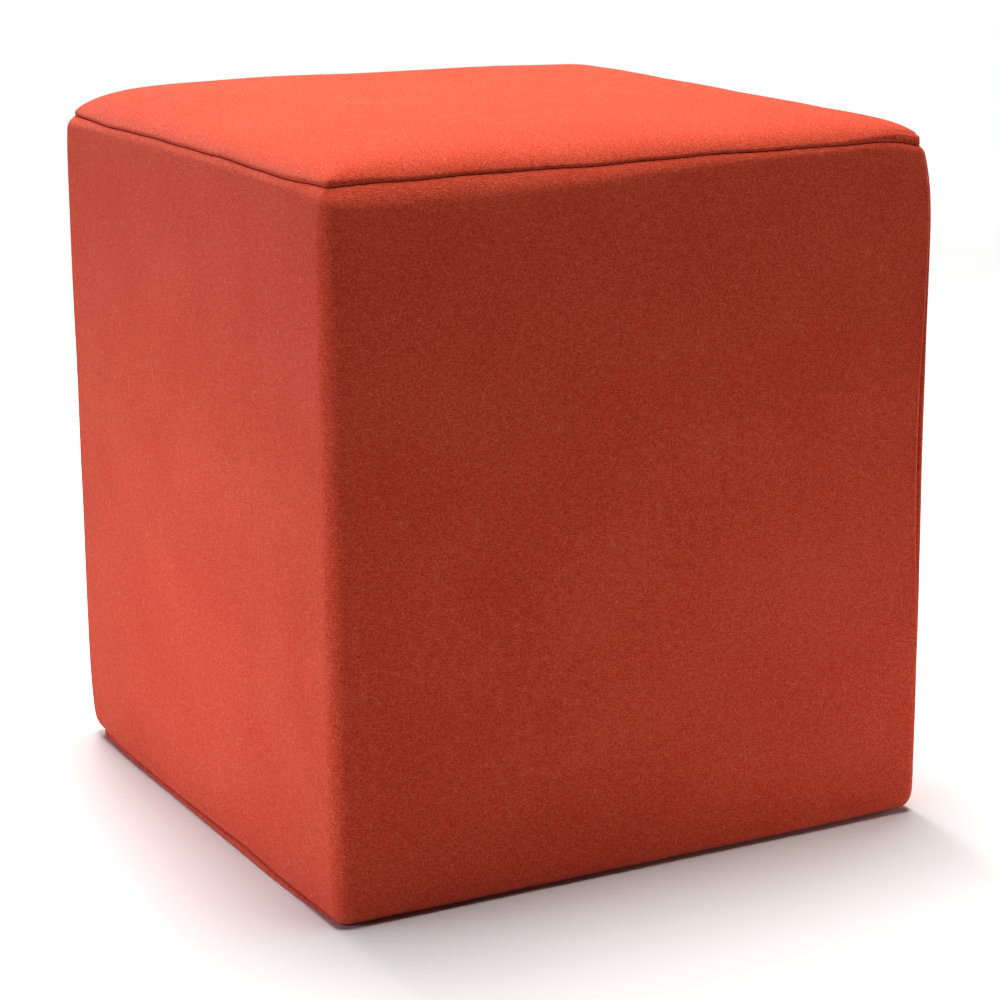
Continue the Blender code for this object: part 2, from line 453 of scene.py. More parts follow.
@dataclass
class Cover:
    """Shape of the sewn cover, shared by its three pieces."""

    side: float
    seam_height: float
    crown_rise: float
    bulge: float = 0.0026
    corner_radius: float = 0.008
    near_radius: float = 0.0115  # of the near corner, which has no seam to sharpen it
    least_radius: float = 0.0008
    seam_inset: float = 0.0075  # the most that the top seam is set in
    tail_reach: float = 0.036  # down the boxing, of the seam's draw over a longer way
    wander_reach: float = 0.020  # down the boxing, of the seam's rise and fall
    pucker_reach: float = 0.006
    top_pucker: float = 0.00016
    base_pucker: float = 0.00014
    rim_pucker: float = 0.00012
    stitches: int = 182  # puckers round the girth, between the hidden stitches
    base_inset: float = 0.0072
    base_roll: float = 0.0125
    base_tuck: float = 0.0008  # how far the base panel's hidden rim is behind the boxing's
    crown_full: float = 6.0  # the higher, the flatter the crown's middle
    crown_hip: float = 3.0  # the higher, the sharper its four hips
    crown_start: float = 0.0006  # the top panel stands up this much sooner than its profile says
    ripple_edge: float = 0.050  # over which the crown's unevenness fades into the seam
    corner_spread: float = 0.045
    dip_spread: float = 0.018
    straight_columns: int = 216
    arc_columns: int = 12
    corner_from: float = 0.93  # share of a side at which its columns belong to the corner
    seam_column: float = 30.0  # turn, before the columns are spread, of the one in the upright seam
    corners: tuple[Corner, ...] = (
        Corner(-1, -1, 0.0010, 0.030, 0.0015, 0.030, 0.0000, 0.0008, 0.90, 0.60),
        Corner(+1, -1, 0.0048, 0.062, 0.0030, 0.022, 0.0038, 0.0009, 0.825, 0.62),
        Corner(+1, +1, 0.0020, 0.050, 0.0020, 0.040, 0.0010, 0.0030, 0.91, 0.50),
        Corner(-1, +1, 0.0006, 0.020, 0.0040, 0.080, 0.0000, 0.0048, 1.13, 0.68),
    )
    # How the boxing rolls into the top seam: share of the girth from the near corner, height of
    # the roll, how far in the seam is, and the part of that which is drawn in over a longer way.
    seam_roll: tuple[tuple[float, float, float, float], ...] = (
        (0.000, 0.0110, 0.0070, 0.0014),
        (0.020, 0.0150, 0.0075, 0.0018),
        (0.090, 0.0125, 0.0070, 0.0018),
        (0.135, 0.0076, 0.0054, 0.0020),
        (0.175, 0.0048, 0.0042, 0.0020),
        (0.215, 0.0037, 0.0034, 0.0020),
        (0.240, 0.0036, 0.0030, 0.0014),
        (0.250, 0.0042, 0.0031, 0.0010),
        (0.262, 0.0052, 0.0034, 0.0010),
        (0.300, 0.0090, 0.0055, 0.0010),
        (0.500, 0.0110, 0.0070, 0.0010),
        (0.745, 0.0080, 0.0062, 0.0010),
        (0.775, 0.0060, 0.0040, 0.0008),
        (0.800, 0.0058, 0.0030, 0.0008),
        (0.975, 0.0058, 0.0030, 0.0008),
        (1.000, 0.0110, 0.0066, 0.0014),
    )
    left_base: tuple[LeftBase, ...] = (
        LeftBase(-0.210, 0.0000, 0.0058, 0.00),
        LeftBase(-0.185, 0.0012, 0.0042, 0.30),
        LeftBase(-0.165, 0.0024, 0.0024, 0.55),
        LeftBase(-0.145, 0.0028, 0.0012, 0.65),
        LeftBase(-0.115, 0.0028, 0.0005, 0.70),
        LeftBase(-0.085, 0.0036, 0.0005, 0.70),
        LeftBase(-0.065, 0.0040, 0.0009, 0.65),
        LeftBase(-0.035, 0.0022, 0.0010, 0.60),
        LeftBase(0.000, 0.0015, 0.0014, 0.60),
        LeftBase(+0.070, 0.0002, 0.0020, 0.60),
        LeftBase(+0.155, 0.0000, 0.0028, 0.55),
        LeftBase(+0.195, 0.0000, 0.0040, 0.35),
        LeftBase(+0.210, 0.0000, 0.0056, 0.20),
    )
    # Long rise and fall of the top seam: share of the girth from the near corner, and height.
    seam_bow: tuple[tuple[float, float], ...] = (
        (0.00, 0.0000),
        (0.02, 0.0008),
        (0.06, 0.0014),
        (0.20, 0.0021),
        (0.24, 0.0017),
        (0.28, 0.0000),
        (0.77, 0.0000),
        (0.82, 0.0010),
        (0.93, 0.0010),
        (0.98, 0.0002),
        (1.00, 0.0000),
    )
    # Short rise and fall of the top seam: waves round the girth, height, and start in radians.
    seam_waves: tuple[tuple[int, float, float], ...] = (
        (7, 0.00034, 0.6),
        (13, 0.00026, 2.1),
        (29, 0.00017, 4.4),
    )
    # The boxing's upright seam: share of the boxing's height, and turn from the front in degrees.
    seam_run: tuple[tuple[float, float], ...] = (
        (0.00, 58.0),
        (0.20, 56.0),
        (0.29, 46.0),
        (0.36, 22.0),
        (0.45, 9.0),
        (0.60, 7.0),
        (0.70, 11.0),
        (0.78, 30.0),
        (0.90, 42.0),
        (1.00, 40.0),
    )
    # The cloth beside the upright seam: place past the seam, how far it stands out, and width. It
    # is a narrow groove, with a lip on each side.
    groove: tuple[tuple[float, float, float], ...] = (
        (0.0000, -0.0028, 0.0008),
        (-0.0029, 0.00065, 0.0014),
        (0.0020, 0.00030, 0.0011),
    )
    groove_least: float = 0.35  # share of the groove that is left at the boxing's two ends

    @classmethod
    def from_frame(cls) -> Cover:
        """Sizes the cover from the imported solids.

        Returns:
            The cover, as wide and as high as they are.
        """
        low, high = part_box("side_boxing")
        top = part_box("top_panel")[1]
        side = high.x - low.x - 2 * cls.bulge
        cover = cls(side=side, seam_height=high.z + GAP, crown_rise=0.0)
        middle = sum(corner.fullness for corner in cover.corners) / len(cover.corners)
        cover.crown_rise = (top.z - cover.seam_height) / middle
        return cover

    def __post_init__(self) -> None:
        """Lays out the columns round the outline, and the waves of the filling."""
        arc = np.arange(self.arc_columns) / self.arc_columns * 45.0
        straight = np.linspace(-1, 1, self.straight_columns, endpoint=False)
        ends, level = np.ones(self.arc_columns), np.zeros(self.straight_columns)
        self.columns_run = np.tile(np.concatenate([-ends, straight, ends]), len(Side))
        self.columns_turn = np.tile(np.concatenate([arc - 45.0, level, arc]), len(Side))
        self.columns = len(self.columns_run)
        self.columns_side = np.repeat(np.arange(len(Side)), self.columns // len(Side))
        self.columns_facing = np.array([side.value for side in Side])[self.columns_side]
        to_near = np.select([self.columns_side == 0, self.columns_side == 3], [-1.0, 1.0], 0.0)
        nearness = np.clip(self.columns_run * to_near, 0.0, 1.0)
        wider = self.near_radius - self.corner_radius
        self.columns_radius = self.corner_radius + wider * nearness
        outline = self.plan(self.columns_turn)
        steps = np.linalg.norm(np.roll(outline, -1, axis=0) - outline, axis=1)
        self.girth = float(steps.sum())
        self.arc_place = np.concatenate([[0.0], np.cumsum(steps)[:-1]])
        self.ripple = Ripple(seed=11, height=0.00028)

    def plan(self, turn: Array, inset: Array | float = 0.0) -> Array:
        """Points of the outline, drawn in evenly by an inset.

        Args:
            turn: Each column's turn from the way its side faces, in degrees.
            inset: How far each column is drawn in, in metres.

        Returns:
            Points in plan, one for each column.
        """
        facing = np.radians(self.columns_facing)
        radius = np.maximum(self.columns_radius - inset, self.least_radius)
        straight = self.side / 2 - inset - radius
        ahead, direction = unit(facing), unit(facing + np.radians(turn))
        sideways = ahead[:, ::-1] * (-1, 1)
        run = (straight * self.columns_run)[:, None]
        return ahead * straight[:, None] + sideways * run + direction * radius[:, None]

    def outward(self, turn: Array) -> Array:
        """The way each column faces in plan, for its turn in degrees."""
        return unit(np.radians(self.columns_facing + turn))

    def blend(self, x: Array, y: Array, column: str) -> Array:
        """One column of the corner table, blended from all corners.

        Args:
            x: First coordinates of points of the plan.
            y: Their second ones.
            column: Name of the corners' field.

        Returns:
            A value for each point.
        """
        across, along = 2 * x / self.side, 2 * y / self.side
        return sum(
            getattr(corner, column) * (1 + corner.x * across) * (1 + corner.y * along) / 4
            for corner in self.corners
        )

    def nearness(self, x: Array, y: Array, corner: Corner, spread: float) -> Array:
        """1 at a corner of the plan, fading to 0 over a spread."""
        away = np.hypot(x - corner.x * self.side / 2, y - corner.y * self.side / 2)
        return np.exp(-((away / spread) ** 2))

    def left_share(self, x: Array) -> Array:
        """1 on the left face, fading to 0 away from it."""
        return np.maximum(0.0, -2 * x / self.side) ** 6

    def left_column(self, y: Array, column: str) -> Array:
        """One column of the left base's table, at places along Y."""
        places = [row.along for row in self.left_base]
        return np.interp(y, places, [getattr(row, column) for row in self.left_base])

    def top_seam(self, x: Array, y: Array) -> Array:
        """Height of the top seam's plane, which dips at the corners."""
        dips = (c.seam_dip * self.nearness(x, y, c, self.dip_spread) for c in self.corners)
        return self.seam_height - sum(dips)

    def base_seam(self, x: Array, y: Array) -> Array:
        """Height of the base seam."""
        return self.blend(x, y, "base_seam") + self.left_share(x) * self.left_column(y, "rise")

    def around(self, x: Array, y: Array) -> Array:
        """Share of the girth at which points of the plan lie, seen from the middle.

        Args:
            x: The points' first coordinates.
            y: Their second ones.

        Returns:
            Shares from 0 at the near corner, anticlockwise from above.
        """
        ahead = np.maximum(np.maximum(np.abs(x), np.abs(y)), 1e-9)
        across, along = x / ahead, y / ahead
        on_front = (along <= -1 + 1e-9) & (across < 1 - 1e-9)
        side = np.select([on_front, across >= 1 - 1e-9, along >= 1 - 1e-9], [0, 1, 2], 3)
        run = np.select([side == 0, side == 1, side == 2], [across, along, -across], -along)
        return np.mod((side + (run + 1) / 2) / 4, 1.0)

    def roll_at(self, x: Array, y: Array) -> tuple[Array, ...]:
        """Height of the roll, the seam's inset and its tail, abreast of points of the plan."""
        around, rows = self.around(x, y), np.array(self.seam_roll)
        return tuple(np.interp(around, rows[:, 0], rows[:, column]) for column in (1, 2, 3))

    def wander(self, place: Array) -> Array:
        """How far the top seam strays up or down.

        Args:
            place: Places along the girth, in metres.

        Returns:
            Heights in metres.
        """
        share = 2 * math.pi * place / self.girth
        height = np.interp(place / self.girth, *zip(*self.seam_bow))
        for waves, rise, start in self.seam_waves:
            height = height + rise * np.sin(waves * share + start)
        return height

    def pucker(self, place: Array, shift: float = 0.0) -> Array:
        """Fullness between the seam's stitches.

        Args:
            place: Places along the girth, in metres.
            shift: Moves the pattern, so that two seams don't pucker alike.

        Returns:
            Fullness, about -1 to 1.
        """
        share = 2 * math.pi * place / self.girth
        uneven = 0.65 + 0.35 * np.sin(11 * share + 1.3 + shift)
        return uneven * np.sin(self.stitches * share + 1.6 * np.sin(17 * share + shift) + shift)

    def seam_angle(self, share: float) -> float:
        """Turn of the upright seam from the front, smoothed over its path.

        Args:
            share: Share of the boxing's height, from 0 at the base seam.

        Returns:
            The turn in degrees.
        """
        rows = np.array(self.seam_run)
        near = np.clip(share + np.linspace(-0.06, 0.06, 7), 0.0, 1.0)
        return float(np.interp(near, rows[:, 0], rows[:, 1]).mean())

    def turns(self, share: float) -> tuple[Array, Array]:
        """Each column's turn at a share of the height, and its distance from the upright seam.

        The columns of the front right corner are spread so that one of them follows the seam.

        Args:
            share: Share of the boxing's height, from 0 at the base seam.

        Returns:
            Turns in degrees from the way the side faces, and distances in metres, positive past
            the seam towards the right side and infinite away from that corner.
        """
        turn = self.columns_turn
        front = (self.columns_side == 0) & (self.columns_run > self.corner_from)
        right = (self.columns_side == 1) & (self.columns_run < -self.corner_from)
        arc = (front | right) & (np.abs(self.columns_run) == 1.0)
        before = np.where(front, turn, turn + 90.0)
        seam, middle = self.seam_angle(share), self.seam_column
        past = seam + (before - middle) * (90.0 - seam) / (90.0 - middle)
        warped = np.where(before < middle, before * seam / middle, past)
        turn = np.where(arc, np.where(front, warped, warped - 90.0), turn)
        flat_past = (self.columns_run - np.where(front, 1.0, -1.0)) * self.side / 2
        reach = np.radians(np.where(arc, warped, np.where(front, 0.0, 90.0)) - seam)
        distance = reach * self.corner_radius + flat_past
        return turn, np.where(front | right, distance, np.inf)

    def wall(self, share: float, extra: float = 0.0, rise: float = 0.0) -> Array:
        """Points of the boxing's wall at one share of its height.

        Args:
            share: Share of the height, from 0 at the base seam to 1 at the top seam.
            extra: Further inset, for the lips that roll into a seam.
            rise: Height added to the points.

        Returns:
            A point for each column.
        """
        turn, from_seam = self.turns(share)
        x, y = self.plan(turn).T
        low, high = self.base_seam(x, y), self.top_seam(x, y)
        height = low + (high - low) * share
        below, above = high - height, height - low

        top_roll, seam_in, tail = self.roll_at(x, y)
        rolled = np.maximum(0.0, 1 - below / top_roll) ** 2
        drawn = np.maximum(0.0, 1 - below / self.tail_reach) ** 2
        inset = (seam_in - tail) * rolled + tail * drawn
        under = np.clip(1 - above / self.base_roll, 0.0, 1.0)
        open_base = 1 - self.left_share(x) * self.left_column(y, "fill")
        inset += self.base_inset * open_base * (1 - np.sqrt(1 - under**2)) + extra

        beside = np.minimum(np.abs(x), np.abs(y)) * 2 / self.side
        proud = self.bulge * (1 - beside**2) * math.sin(math.pi * share)
        open_wall = min(1.0, 8 * (1 - share), 8 * share)
        groove = sum(
            depth * np.exp(-(((from_seam - place) / width) ** 2))
            for place, depth, width in self.groove
        )
        proud = proud + groove * (self.groove_least + (1 - self.groove_least) * open_wall)
        to_top, to_base = np.exp(-below / self.pucker_reach), np.exp(-above / self.pucker_reach)
        fullness = self.top_pucker * self.pucker(self.arc_place) * to_top
        fullness += self.base_pucker * self.pucker(self.arc_place, 2.0) * to_base
        outward = self.outward(turn)
        points = self.plan(turn, inset) + outward * (proud + fullness)[:, None]

        for corner in self.corners:
            draw = corner.top_draw * np.maximum(0.0, 1 - below / corner.top_reach) ** 3
            draw += corner.base_draw * np.maximum(0.0, 1 - above / corner.base_reach) ** 3
            draw *= self.nearness(x, y, corner, self.corner_spread) / math.sqrt(2)
            points = points - np.array([corner.x, corner.y]) * draw[:, None]
        height = height + self.wander(self.arc_place) * np.exp(-below / self.wander_reach) + rise
        placed = np.concatenate([points, height[:, None]], -1)
        uneven = self.ripple.at(placed) * math.sin(math.pi * share) ** 0.5
        placed[:, :2] += outward * uneven[:, None]
        return placed

    def base_rim(self, extra: float, share: float) -> Array:
        """Points round the base panel's edge.

        Args:
            extra: Inset past the rim's widest line, in metres.
            share: Share of the base seam's height.

        Returns:
            A point for each column.
        """
        turn = self.turns(0.0)[0]
        x, y = self.plan(turn).T
        hidden = self.base_inset + self.base_tuck
        rims = hidden + (self.left_column(y, "rim") - hidden) * self.left_share(x)
        puckers = self.rim_pucker * self.pucker(self.arc_place, 2.0)
        points = self.plan(turn, rims + extra) + self.outward(turn) * puckers[:, None]
        for corner in self.corners:
            draw = corner.base_draw * self.nearness(x, y, corner, self.corner_spread)
            points = points - np.array([corner.x, corner.y]) * draw[:, None] / math.sqrt(2)
        height = (self.base_seam(x, y) - GAP) * share
        return np.concatenate([points, height[:, None]], -1)

    def crown(self, x: Array, y: Array) -> Array:
        """Height of the crown above the seam's plane.

        Args:
            x: First coordinates of points of the plan.
            y: Their second ones.

        Returns:
            Heights in metres.
        """
        to_seam = self.side / 2 - self.roll_at(x, y)[1]
        in_x = np.maximum(to_seam - np.abs(x), 0.0) + self.crown_start
        in_y = np.maximum(to_seam - np.abs(y), 0.0) + self.crown_start
        power_x, power_y = in_x**-self.crown_hip, in_y**-self.crown_hip
        inside = (power_x + power_y) ** (-1 / self.crown_hip) / to_seam
        softness = self.blend(x, y, "softness")
        profile = (1 - (1 - np.minimum(inside, 1.0)) ** self.crown_full) ** softness
        return self.crown_rise * profile * self.blend(x, y, "fullness")

    def top_surface(self, x: Array, y: Array) -> Array:
        """Height of the top panel's face.

        Args:
            x: First coordinates of points of the plan.
            y: Their second ones.

        Returns:
            Heights above the floor, in metres.
        """
        flat = np.stack([x, y, np.zeros_like(x)], -1)
        edge = np.minimum(self.side / 2 - np.abs(x), self.side / 2 - np.abs(y))
        uneven = self.ripple.at(flat) * np.clip(edge / self.ripple_edge, 0.0, 1.0)
        return self.top_seam(x, y) + self.crown(x, y) + uneven


# --- Mesh building ---


@dataclass
class MeshDraft:
    """Points, faces and cloth places of a mesh in the making."""

    points: list[Array] = field(default_factory=list)
    places: list[Array] = field(default_factory=list)
    faces: list[Array] = field(default_factory=list)
    count: int = 0
    girth: float = math.inf  # of cloth that is wrapped round, so that its map closes

    def add_points(self, points: Array, places: Array) -> int:
        """Adds points and their places on the flat cloth.

        Args:
            points: Points in metres.
            places: Each point's place on the flat cloth, in metres.

        Returns:
            Number of the first one.
        """
        start = self.count
        self.points.append(points)
        self.places.append(places)
        self.count += len(points)
        return start

    def join_loops(self, lower: Array, upper: Array) -> None:
        """Joins two closed loops of point numbers with a band of quads, facing out."""
        after_lower, after_upper = np.roll(lower, -1), np.roll(upper, -1)
        self.faces.append(np.stack([lower, after_lower, after_upper, upper], -1))

    def skin(self, loops: Sequence[Array], places: Sequence[Array]) -> list[Array]:
        """Adds closed loops of points, and joins each one to the next.

        Args:
            loops: The loops' points, from the bottom up.
            places: Each loop's places on the flat cloth.

        Returns:
            The numbers of each loop's points.
        """
        starts = [self.add_points(loop, place) for loop, place in zip(loops, places)]
        rings = [np.arange(start, start + len(loop)) for start, loop in zip(starts, loops)]
        for lower, upper in zip(rings, rings[1:]):
            self.join_loops(lower, upper)
        return rings

    def close(self, ring: Array, loop: Array, upward: bool, level: float | None = None) -> None:
        """Closes a piece at its first or last loop, with a smaller loop and a middle point.

        Args:
            ring: Numbers of the loop's points.
            loop: Its points.
            upward: Whether the closing face looks up.
            level: Height of the closing face, or None for the loop's own.
        """
        inner = loop * np.array([CLOSED_AT, CLOSED_AT, 1.0])
        if level is not None:
            inner[:, 2] = level
        middle = inner.mean(axis=0, keepdims=True)
        start = self.add_points(inner, inner[:, :2])
        hub = self.add_points(middle, middle[:, :2])
        inside = np.arange(start, start + len(loop))
        first, last = (ring, inside) if upward else (inside, ring)
        self.join_loops(first, last)
        after = np.roll(inside, -1)
        corners = [inside, after] if upward else [after, inside]
        self.faces.append(np.stack([*corners, np.full(len(loop), hub)], -1))

    def build(self, name: str, material: bpy.types.Material) -> bpy.types.Object:
        """Makes the object, smooth shaded, with the cloth's own map.

        Args:
            name: The object's name.
            material: Its finish.

        Returns:
            The object, in the scene.
        """
        points, places = np.concatenate(self.points), np.concatenate(self.places)
        faces = [tuple(face) for block in self.faces for face in block.tolist()]
        mesh = bpy.data.meshes.new(name)
        mesh.from_pydata(points.tolist(), [], faces)
        layer = mesh.uv_layers.new(name=CLOTH_MAP)
        corners = np.empty(len(mesh.loops), dtype=np.int32)
        mesh.loops.foreach_get("vertex_index", corners)
        laid = places[corners]
        sizes = np.array([len(face) for face in faces])
        starts = np.concatenate([[0], np.cumsum(sizes)[:-1]])
        furthest = np.repeat(np.maximum.reduceat(laid[:, 0], starts), sizes)
        wrapped = furthest - laid[:, 0] > self.girth / 2
        laid[wrapped, 0] += self.girth
        layer.uv.foreach_set("vector", laid.astype(np.float32).ravel())
        mesh.shade_smooth()
        mesh.materials.append(material)
        mesh.validate()
        piece = bpy.data.objects.new(name, mesh)
        bpy.context.scene.collection.objects.link(piece)
        return piece


def report(piece: bpy.types.Object) -> None:
    """Logs a piece's name, its triangles and its size.

    Args:
        piece: The piece.
    """
    triangles = sum(polygon.loop_total - 2 for polygon in piece.data.polygons)
    size = " x ".join(f"{length / MM:.1f}" for length in piece.dimensions)
    log.info("%s: %d triangles, %s mm", piece.name, triangles, size)


# --- The cover's pieces ---


@dataclass
class Boxing:
    """The strip round all four sides, with its ends joined at the front right corner."""

    cover: Cover
    finish: WoolFelt
    fill: float = 0.95
    # The lip that rolls into the top seam: further inset and height past the wall's top.
    top_lip: tuple[tuple[float, float], ...] = (
        (0.0006, 0.00005),
        (0.0011, -0.00030),
        (0.0015, -0.0009),
        (0.0019, -0.0019),
        (0.0024, -0.0040),
    )
    # The lip that rolls into the base seam, from the bottom up: further inset, and height.
    base_lip: tuple[tuple[float, float], ...] = ((0.0016, 0.0006), (0.0009, 0.0001))
    near_base: float = 0.060  # share of the wall that has the close rows near the base seam
    near_top: float = 0.070  # and near the top seam
    base_rows: int = 15
    top_rows: int = 22
    wall_rows: int = 42

    def rows(self) -> Array:
        """Lays out the wall's rows, close together near the seams.

        Returns:
            Shares of the height.
        """
        near_base = self.near_base * np.linspace(0, 1, self.base_rows) ** 1.7
        near_top = 1 - self.near_top * np.linspace(0, 1, self.top_rows)[::-1] ** 1.5
        between = np.linspace(near_base[-1], near_top[0], self.wall_rows + 2)[1:-1]
        return np.concatenate([near_base, between, near_top])

    def build(self) -> bpy.types.Object:
        """Builds the boxing as one closed, filled form.

        Returns:
            The piece.
        """
        cover, draft = self.cover, MeshDraft(girth=self.cover.girth)
        loops = [cover.wall(0.0, extra, rise) for extra, rise in self.base_lip]
        loops += [cover.wall(share) for share in self.rows()]
        loops += [cover.wall(1.0, extra, rise) for extra, rise in self.top_lip]
        wall = slice(len(self.base_lip), -len(self.top_lip))
        self.grid = np.stack(loops[wall])

        # The flat cloth runs up the wall and over the lips. Its ends meet at the upright seam.
        climbs = [np.linalg.norm(b - a, axis=1).mean() for a, b in zip(loops, loops[1:])]
        heights = np.concatenate([[0.0], np.cumsum(climbs)])
        self.grid_height = heights[wall]
        upright = cover.arc_place[np.argmin(np.abs(cover.turns(0.5)[1]))]
        along = np.mod(cover.arc_place - upright, cover.girth)
        places = [np.stack([along, np.full(cover.columns, height)], -1) for height in heights]
        rings = draft.skin(loops, places)
        draft.close(rings[0], loops[0], upward=False)
        draft.close(rings[-1], loops[-1], upward=True)
        piece = draft.build("boxing_felt", self.finish.build())
        return self.dress(piece)

    def dress(self, piece: bpy.types.Object) -> bpy.types.Object:
        """Hangs the piece on the stool's body, hides the solid it stands for and logs it.

        Args:
            piece: The piece.

        Returns:
            The same piece.
        """
        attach(piece, BODY)
        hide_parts("side_boxing")
        report(piece)
        return piece

    def on_grid(self, column: Array, row: Array) -> Array:
        """Points of the wall between its columns and rows.

        Args:
            column: Columns, with fractions.
            row: Rows, with fractions.

        Returns:
            The points.
        """
        left, under = np.floor(column).astype(int), np.floor(row).astype(int)
        under = np.clip(under, 0, len(self.grid) - 2)
        part_c, part_r = (column - left)[..., None], (row - under)[..., None]
        left, right = left % self.cover.columns, (left + 1) % self.cover.columns
        low, high = (
            self.grid[level, left] * (1 - part_c) + self.grid[level, right] * part_c
            for level in (under, under + 1)
        )
        return low * (1 - part_r) + high * part_r

    def surface(self, along: Array, height: Array) -> tuple[Array, Array]:
        """Places on the flat cloth, laid on the wall.

        Args:
            along: Places along the girth, in metres.
            height: Places up the cloth, in metres.

        Returns:
            The points on the wall and the ways it faces there.
        """
        cover = self.cover
        places = np.append(cover.arc_place, cover.girth)
        column = np.interp(np.mod(along, cover.girth), places, np.arange(cover.columns + 1))
        row = np.interp(height, self.grid_height, np.arange(len(self.grid_height)))
        across = self.on_grid(column + 0.5, row) - self.on_grid(column - 0.5, row)
        up = self.on_grid(column, row + 0.5) - self.on_grid(column, row - 0.5)
        facing = np.cross(across, up)
        facing /= np.linalg.norm(facing, axis=-1, keepdims=True)
        return self.on_grid(column, row), facing


@dataclass
class TopPanel:
    """The crowned top, which rolls down into its seam all round."""

    cover: Cover
    finish: WoolFelt
    fill: float = 0.9
    # From the bottom of the seam's crease up to where the crown starts: inset past the seam's and
    # height above it.
    rim: tuple[tuple[float, float], ...] = (
        (0.0031, -0.0038),
        (0.0025, -0.0018),
        (0.0019, -0.0007),
        (0.0010, 0.0001),
        (0.0003, 0.0008),
        (0.0000, 0.0016),
    )
    edge: tuple[float, ...] = (0.0003, 0.0009, 0.0018)  # inset of the crown's first loops
    lattice_from: float = 0.0032  # inset of the loop where the face's lattice starts
    lattice_inside: float = 0.0100  # from the boxing's face to the lattice's square part
    pucker: float = 0.00014
    pucker_reach: float = 0.003
    flat_past: float = 0.0064  # from the boxing's face to where the flat cloth is measured
    slope_step: float = 0.0005

    def loop(self, inset: float, rise: float | None) -> Array:
        """A loop of the panel, at an inset from the seam's line.

        Args:
            inset: Inset past the seam's own, in metres.
            rise: Height above the seam, or None where the crown gives it.

        Returns:
            A point for each column.
        """
        cover = self.cover
        shape = cover.wall(1.0, extra=inset)
        shape[:, 2] += cover.crown(shape[:, 0], shape[:, 1]) if rise is None else rise
        outward = cover.outward(cover.turns(1.0)[0])
        fade = math.exp(-inset / self.pucker_reach)
        full = self.pucker * cover.pucker(cover.arc_place, 0.9) * fade
        shape[:, :2] += outward * full[:, None]
        return shape

    def build(self) -> bpy.types.Object:
        """Builds the top panel as one closed, filled form.

        Returns:
            The piece.
        """
        cover, draft = self.cover, MeshDraft()
        loops = [self.loop(inset, rise) for inset, rise in self.rim]
        loops += [self.loop(inset, None) for inset in self.edge]
        rim = self.loop(self.lattice_from, None)
        outward = cover.outward(cover.turns(1.0)[0])
        pairs = zip(loops, loops[1:] + [rim])
        climbs = [np.linalg.norm(b - a, axis=1).mean() for a, b in pairs]
        beyond = np.cumsum(climbs[::-1])[::-1]
        places = [self.flat(rim[:, :2]) + outward * extra for extra in beyond]
        rings = draft.skin(loops, places)
        draft.close(rings[0], loops[0], upward=False)

        # The face is a square lattice, whose outer ring has as many points as the loops.
        half = cover.columns // 8
        i, j = np.meshgrid(np.arange(-half, half + 1), np.arange(-half, half + 1), indexing="ij")
        ring = np.maximum(np.abs(i), np.abs(j))
        u, v = i / np.maximum(ring, 1), j / np.maximum(ring, 1)
        on_side = [v == -1, u == 1, v == 1, u == -1]
        side, along = np.select(on_side, [0, 1, 2, 3], 0), np.select(on_side, [u, v, -u, -v], 0)
        column = np.mod((side + (along + 1) / 2) * 2 * half, cover.columns)
        around = np.arange(cover.columns + 1)
        share = ring / half
        blend = (share**10)[..., None]
        by_rim = np.stack(
            [np.interp(column, around, np.append(rim[:, k], rim[0, k])) for k in (0, 1)], -1
        )
        square = np.stack([u, v], -1) * (cover.side / 2 - self.lattice_inside)
        plan = (by_rim * blend + square * (1 - blend)) * share[..., None]
        x, y = plan[..., 0], plan[..., 1]
        lift = cover.wander(np.interp(column, around, np.append(cover.arc_place, cover.girth)))
        from_rim = (1 - share) * np.abs(rim[:, 0]).mean()
        height = cover.top_surface(x, y) + lift * np.exp(-from_rim / cover.wander_reach)
        face = np.stack([x, y, height], -1).reshape(-1, 3)
        start = draft.add_points(face, self.flat(face[:, :2]))
        number = start + np.arange(face.shape[0]).reshape(x.shape)
        quads = np.stack([number[:-1, :-1], number[1:, :-1], number[1:, 1:], number[:-1, 1:]], -1)
        draft.faces.append(quads.reshape(-1, 4))
        on_rim = ring == half
        order = np.argsort(np.round(column[on_rim]).astype(int))
        draft.join_loops(rings[-1], number[on_rim][order])
        piece = draft.build("lit_top_felt", self.finish.build())
        return self.dress(piece)

    def flat(self, plan: Array) -> Array:
        """Places of points on the panel before it was pulled over the crown.

        Args:
            plan: Points of the plan, in metres.

        Returns:
            Their places on the flat cloth, in metres.
        """
        reach = np.linspace(0.0, self.cover.side / 2 - self.flat_past, 240)
        rise = self.cover.crown(reach, np.zeros_like(reach))
        climb = np.hypot(np.diff(reach), np.diff(rise))
        length = np.concatenate([[0.0], np.cumsum(climb)])
        far = np.maximum(np.maximum(np.abs(plan[:, 0]), np.abs(plan[:, 1])), 1e-6)
        return plan * (np.interp(far, reach, length) / far)[:, None]

    def dress(self, piece: bpy.types.Object) -> bpy.types.Object:
        """Hangs the piece on the stool's body, hides the solid it stands for and logs it.

        Args:
            piece: The piece.

        Returns:
            The same piece.
        """
        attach(piece, BODY)
        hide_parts("top_panel")
        report(piece)
        return piece

    def surface(self, x: Array, y: Array) -> tuple[Array, Array]:
        """Points of the plan, laid on the crown.

        Args:
            x: First coordinates of the points.
            y: Their second ones.

        Returns:
            The points on the crown and the ways it faces there.
        """
        step, height = self.slope_step, self.cover.top_surface
        points = np.stack([x, y, height(x, y)], -1)
        slope_x = (height(x + step, y) - height(x - step, y)) / (2 * step)
        slope_y = (height(x, y + step) - height(x, y - step)) / (2 * step)
        facing = np.stack([-slope_x, -slope_y, np.ones_like(x)], -1)
        return points, facing / np.linalg.norm(facing, axis=-1, keepdims=True)


